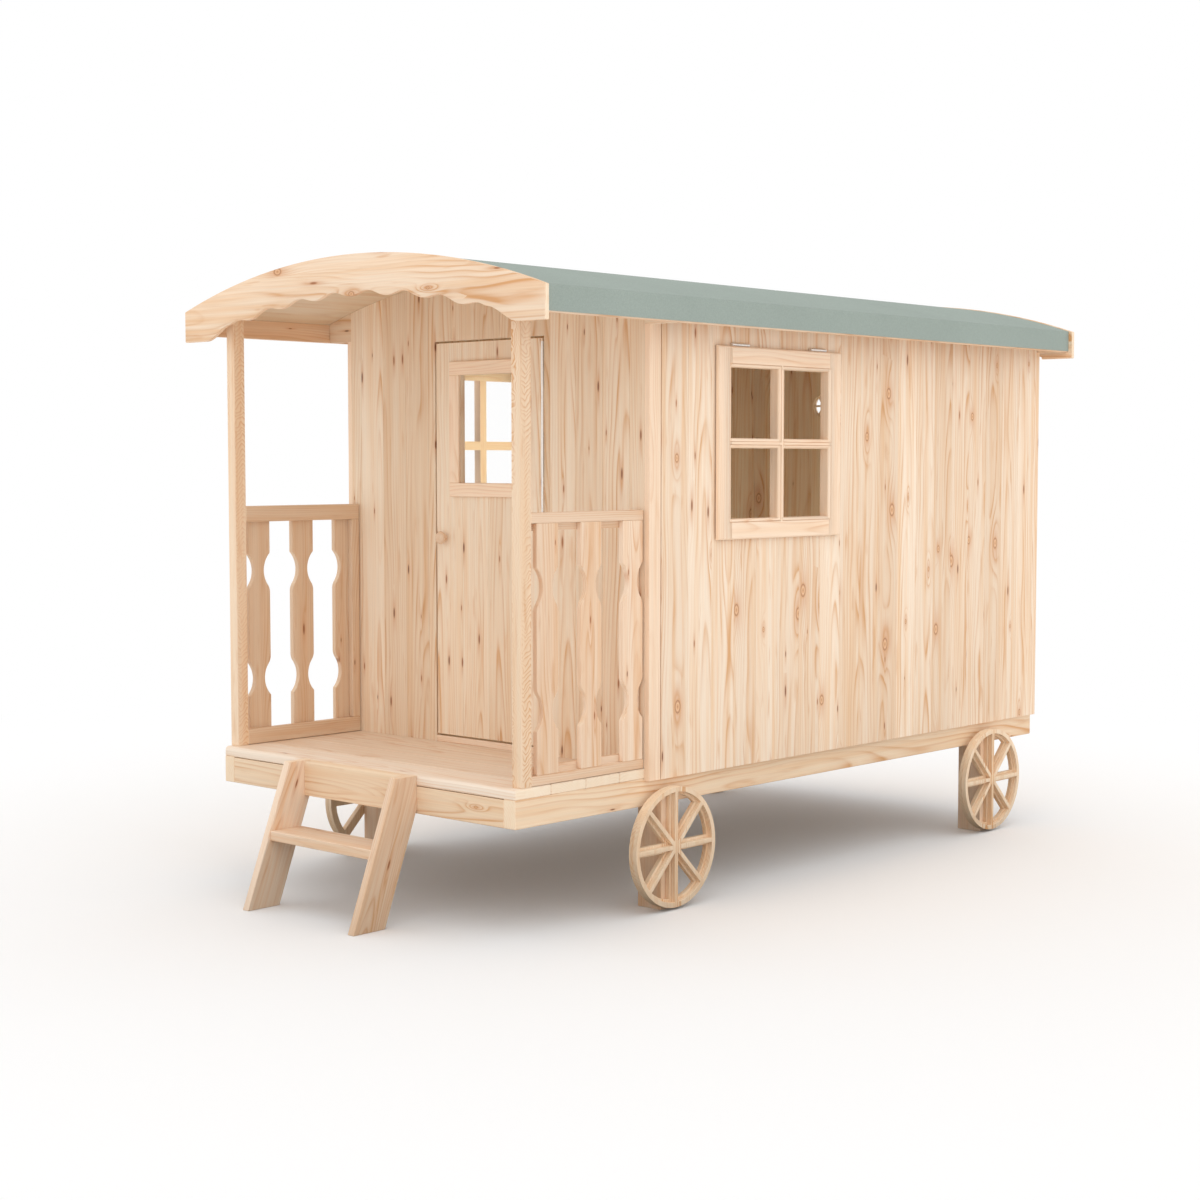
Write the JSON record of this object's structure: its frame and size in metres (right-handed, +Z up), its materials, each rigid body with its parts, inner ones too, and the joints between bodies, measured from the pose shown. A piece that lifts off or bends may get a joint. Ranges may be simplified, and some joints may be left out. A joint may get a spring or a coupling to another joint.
{
  "type": "playhouse wagon",
  "caption": "Small wooden caravan playhouse with an arched felt roof, a railed porch with a ladder, a boarded cabin with a glazed door and spoked display wheels",
  "frame": {"origin": "on the ground, at the centre of the bounding box", "axes": "+X to the right for someone who faces the door, +Y from the porch to the back, +Z up"},
  "size_m": [1.466, 2.771, 1.7849],
  "materials": {
    "timber": "natural pine, unpainted",
    "wheel_wood": "natural pine, unpainted",
    "wall_boards": "natural pine boards with knots",
    "joinery": "clear pine, unpainted",
    "glazing": "clear sheet",
    "felt": "matt mineral roofing felt",
    "hinge_metal": "zinc plated"
  },
  "bodies": {
    "wagon": {"floor_deck": "timber", "rim_left": "timber", "rim_right": "timber", "rim_front": "timber", "rim_rear": "timber", "leg_front_left": "timber", "leg_front_right": "timber", "leg_rear_left": "timber", "leg_rear_right": "timber", "wheel_front_left": "wheel_wood", "wheel_front_right": "wheel_wood", "wheel_rear_left": "wheel_wood", "wheel_rear_right": "wheel_wood", "ladder_stringer_left": "timber", "ladder_stringer_right": "timber", "ladder_tread": "timber", "porch_post_left": "timber", "porch_post_right": "timber", "railing_left": "timber", "railing_right": "timber", "front_wall_left": "wall_boards", "front_wall_right": "wall_boards", "front_wall_head": "wall_boards", "door_threshold": "timber", "corner_trim_left": "timber", "corner_trim_right": "timber", "side_wall_left": "wall_boards", "side_wall_right": "wall_boards", "rear_wall": "wall_boards", "window_sash_left": "joinery", "window_sash_right": "joinery", "window_glass_left": "glazing", "window_glass_right": "glazing", "door_hinges": "hinge_metal", "roof_deck": "timber", "roof_felt": "felt", "eave_board_left": "timber", "eave_board_right": "timber", "fascia_front": "timber", "fascia_rear": "timber"},
    "door": {"door_leaf": "wall_boards", "door_casing": "joinery", "door_glass": "glazing", "door_knob": "joinery", "door_hinge_flaps": "hinge_metal"}
  },
  "joints": [
    {"name": "door_hinge", "type": "hinge", "parent": "wagon", "child": "door", "pos_m": [0.221, -0.666, 0], "axis": [0, 0, 1], "range_deg": [0, 100]}
  ]
}
